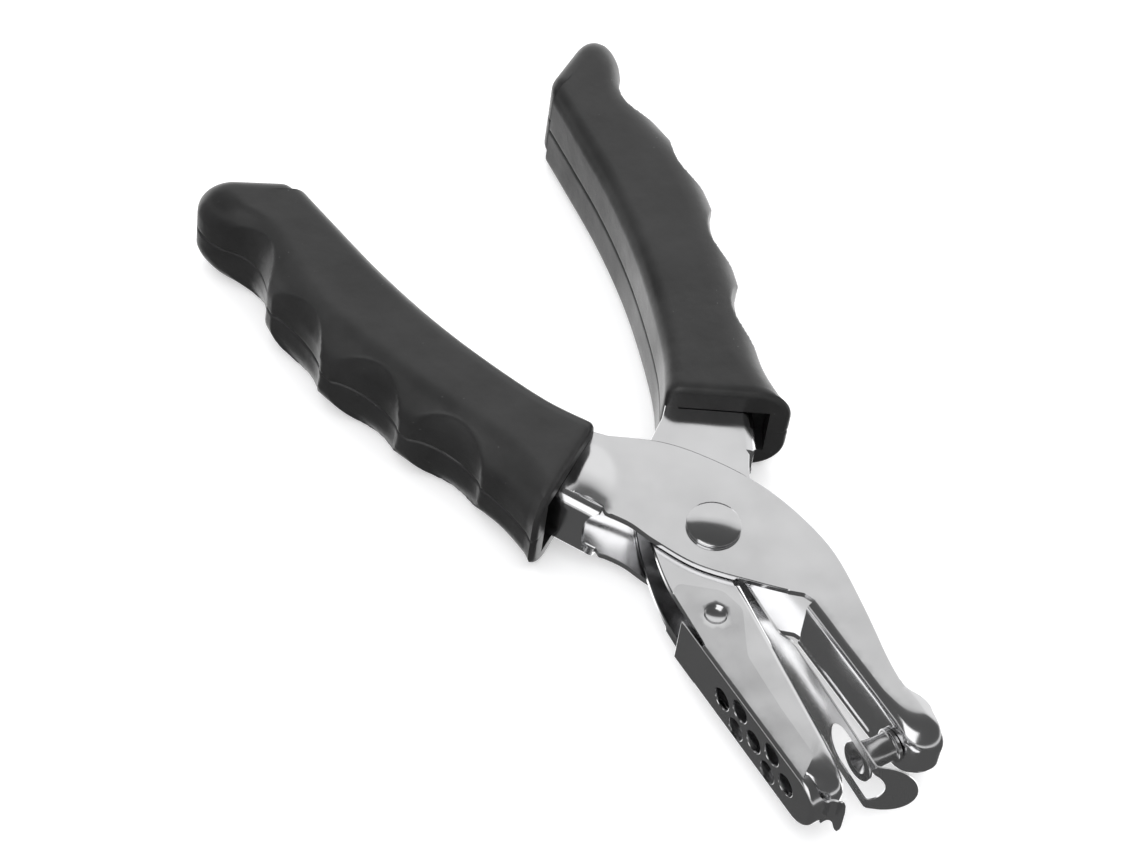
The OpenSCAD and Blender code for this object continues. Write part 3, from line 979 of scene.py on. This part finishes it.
def grip_half():
    """Rows of the upper half of the left grip: its rounded mouth, its length and its rounded tail."""
    share = np.linspace(0, 1, GRIP_ROWS)
    palm = at_length(GRIP_PALM, share * lengths(GRIP_PALM)[-1])
    fingers = at_length(GRIP_FINGERS, share * lengths(GRIP_FINGERS)[-1])

    def row(i, shrink=0.0, ahead=0.0):
        across = fingers[i] - palm[i]
        width = np.linalg.norm(across)
        across /= width
        along = np.array([across[1], -across[0]])
        section = grip_section(width, shrink, fingers[i][1])
        plan = palm[i] + across * section[:, :1] + along * ahead
        return np.column_stack([plan, section[:, 1]])

    rows = []
    for a in np.radians(np.linspace(0, 75, 5)):
        rows.append(row(0, MOUTH_R * (1 - math.sin(a)), MOUTH_R * (1 - math.cos(a))))
    for i in range(4, GRIP_ROWS - 6):
        rows.append(row(i))
    for a in np.radians(np.linspace(0, 90, 9)):
        rows.append(row(GRIP_ROWS - 1, TAIL_R * (1 - math.cos(a)), -TAIL_R * (1 - math.sin(a))))
    return rows


def grip(side, up, name, body, node, opening):
    """One half of one grip: side and up mirror the left upper half, opening is the handle's half height."""
    palm_wall, finger_wall, recess = 0.8, 1.8, 4.0
    rows = grip_half()
    rim = rows[0]
    low, high = rim[0, :2], rim[-1, :2]
    width = np.linalg.norm(high - low)
    across = (high - low) / width
    along = np.array([across[1], -across[0]])
    u = np.clip((rim[:, :2] - low) @ across, palm_wall, width - finger_wall)[:, None]
    level = np.minimum(rim[:, 2], opening)
    ring = np.column_stack([low + across * u, level])
    deep = np.column_stack([low + across * u + along * recess, level])

    def set_down(points):
        return np.asarray(points) * [side, 1, up]

    shell = Shell()
    shell.grid([set_down(r) for r in rows])
    shell.fan(set_down(rows[-1]))
    shell.grid([set_down(r) for r in (rim, ring, deep)])
    shell.fan(set_down(deep))
    piece(name, shell, body, node, RUBBER, angle=48, weld=0.002)


# ---------------------------------------------------------------- build

punch_lever()
die_lever()
pivot_rivet()
punch_pin()
return_spring()
stripper_plate()
chip_cover()
for side, hand, body, half in ((1, "left", "punch_lever", PUNCH_HALF), (-1, "right", "die_lever", DIE_HALF)):
    for up, level in ((1, "upper"), (-1, "lower")):
        grip(side, up, f"{hand}_grip_{level}_skin", body, f"{hand}_grip_{level}", half + HANDLE_GAP)
bush = frame["nodes"]["pivot_bush"]
bush.data.materials.clear()
bush.data.materials.append(TOOL)

# ---------------------------------------------------------------- stage, camera and light

AZIMUTH, ELEVATION, ROLL = -38.80, 51.505, 9.098
DISTANCE, SIDEWAYS, UPWARDS = 540.37, 19.909, -17.357
LENS = 119.03
SENSOR = 36
BRIGHT_WAY = (0.626, 0.779)
GROUND_LEVEL = 2
WORLD_LEVEL = 1.15


def add_camera():
    """The photograph's view: turned about the pivot, then shifted level with the picture."""
    a, e, r = (math.radians(v) for v in (AZIMUTH, ELEVATION, ROLL))
    back = np.array([math.sin(a) * math.cos(e), -math.cos(a) * math.cos(e), math.sin(e)])
    level = np.array([math.cos(a), math.sin(a), 0])
    rise = np.cross(back, level)
    right = math.cos(r) * level + math.sin(r) * rise
    up = -math.sin(r) * level + math.cos(r) * rise
    at = on_pivot([-SIDEWAYS * right - UPWARDS * up + DISTANCE * back])[0]
    data = bpy.data.cameras.new("camera")
    data.lens = LENS
    data.sensor_width = SENSOR
    data.clip_start = 0.01
    data.clip_end = 20
    camera = bpy.data.objects.new("camera", data)
    bpy.context.scene.collection.objects.link(camera)
    camera.matrix_world = Matrix([(right[i], up[i], back[i], at[i]) for i in range(3)] + [(0, 0, 0, 1)])
    bpy.context.scene.camera = camera


def add_floor():
    """A pale floor with a glow of its own, which the metal doesn't reflect."""
    size = 6.0
    corners = [(-size, -size, 0), (size, -size, 0), (size, size, 0), (-size, size, 0)]
    mesh = bpy.data.meshes.new("floor")
    mesh.from_pydata(corners, [], [range(4)])
    floor = bpy.data.objects.new("floor", mesh)
    bpy.context.scene.collection.objects.link(floor)
    n = Nodes("pale_floor")
    n.join(n.mix(n.noise((0.004, 0.004, 0.004)), grey(0.72), grey(0.75)), n.shader.inputs["Base Color"])
    n.shader.inputs["Emission Color"].default_value = (1, 1, 1, 1)
    n.shader.inputs["Emission Strength"].default_value = 0.42
    n.shader.inputs["Roughness"].default_value = 0.9
    n.shader.inputs["Specular IOR Level"].default_value = 0.1
    mesh.materials.append(n.material)
    floor.visible_glossy = False


def add_light(name, place, aim, size, power, glossy=False):
    data = bpy.data.lights.new(name, "AREA")
    data.shape = "RECTANGLE"
    data.size, data.size_y = size
    data.energy = power
    light = bpy.data.objects.new(name, data)
    bpy.context.scene.collection.objects.link(light)
    light.location = place
    light.rotation_euler = (Vector(aim) - Vector(place)).to_track_quat("-Z", "Y").to_euler()
    light.visible_glossy = glossy


def add_world():
    """A pale room: bright on the side that BRIGHT_WAY points to, with a bright band all round the horizon.

    The ground below is bright on that side too, and only reflections show it.
    """
    world = bpy.data.worlds.new("studio")
    bpy.context.scene.world = world
    world.use_nodes = True
    tree = world.node_tree
    tree.nodes.clear()
    make, join = tree.nodes.new, tree.links.new
    where = make("ShaderNodeTexCoord").outputs["Generated"]
    split = make("ShaderNodeSeparateXYZ")
    join(where, split.inputs[0])

    def ramp(value, stops):
        node = make("ShaderNodeValToRGB")
        node.color_ramp.interpolation = "EASE"
        while len(node.color_ramp.elements) < len(stops):
            node.color_ramp.elements.new(0.5)
        for element, (place, level) in zip(node.color_ramp.elements, stops):
            element.position = place
            element.color = (level, level, level, 1)
        join(value, node.inputs[0])
        return node.outputs[0]

    def calc(operation, a, b):
        node = make("ShaderNodeMath")
        node.operation = operation
        for k, v in enumerate((a, b)):
            if isinstance(v, (int, float)):
                node.inputs[k].default_value = v
            else:
                join(v, node.inputs[k])
        return node.outputs[0]

    along_x = calc("MULTIPLY", split.outputs["X"], BRIGHT_WAY[0])
    along_y = calc("MULTIPLY", split.outputs["Y"], BRIGHT_WAY[1])
    toward = calc("ADD", along_x, along_y)
    above = ramp(toward, [(0.0, 0.1), (0.47, 0.12), (0.57, 0.8), (0.7, 1.0)])
    below = calc("MULTIPLY", ramp(toward, [(0.2, 0.05), (0.42, 1.0)]), GROUND_LEVEL)
    horizon = ramp(split.outputs["Z"], [(0.0, 0.8), (0.12, 0.8), (0.28, 0.0)])
    over = calc("GREATER_THAN", split.outputs["Z"], 0)
    sky = calc("MULTIPLY", calc("MAXIMUM", above, horizon), over)
    ground = calc("MULTIPLY", below, calc("SUBTRACT", 1, over))
    strength = calc("MULTIPLY", calc("ADD", sky, ground), WORLD_LEVEL)
    shader = make("ShaderNodeBackground")
    join(strength, shader.inputs["Strength"])
    out = make("ShaderNodeOutputWorld")
    join(shader.outputs[0], out.inputs["Surface"])


add_camera()
add_floor()
add_world()
add_light("overhead", (0.0, 0.1, 1.6), (0, 0, 0), (2.4, 2.4), 42)
add_light("window", (-0.9, -0.5, 0.9), (0, 0, 0.01), (1.1, 1.4), 6, glossy=True)

scene = bpy.context.scene
scene.view_settings.view_transform = "Standard"
scene.view_settings.look = "None"
scene.view_settings.exposure = 0.0
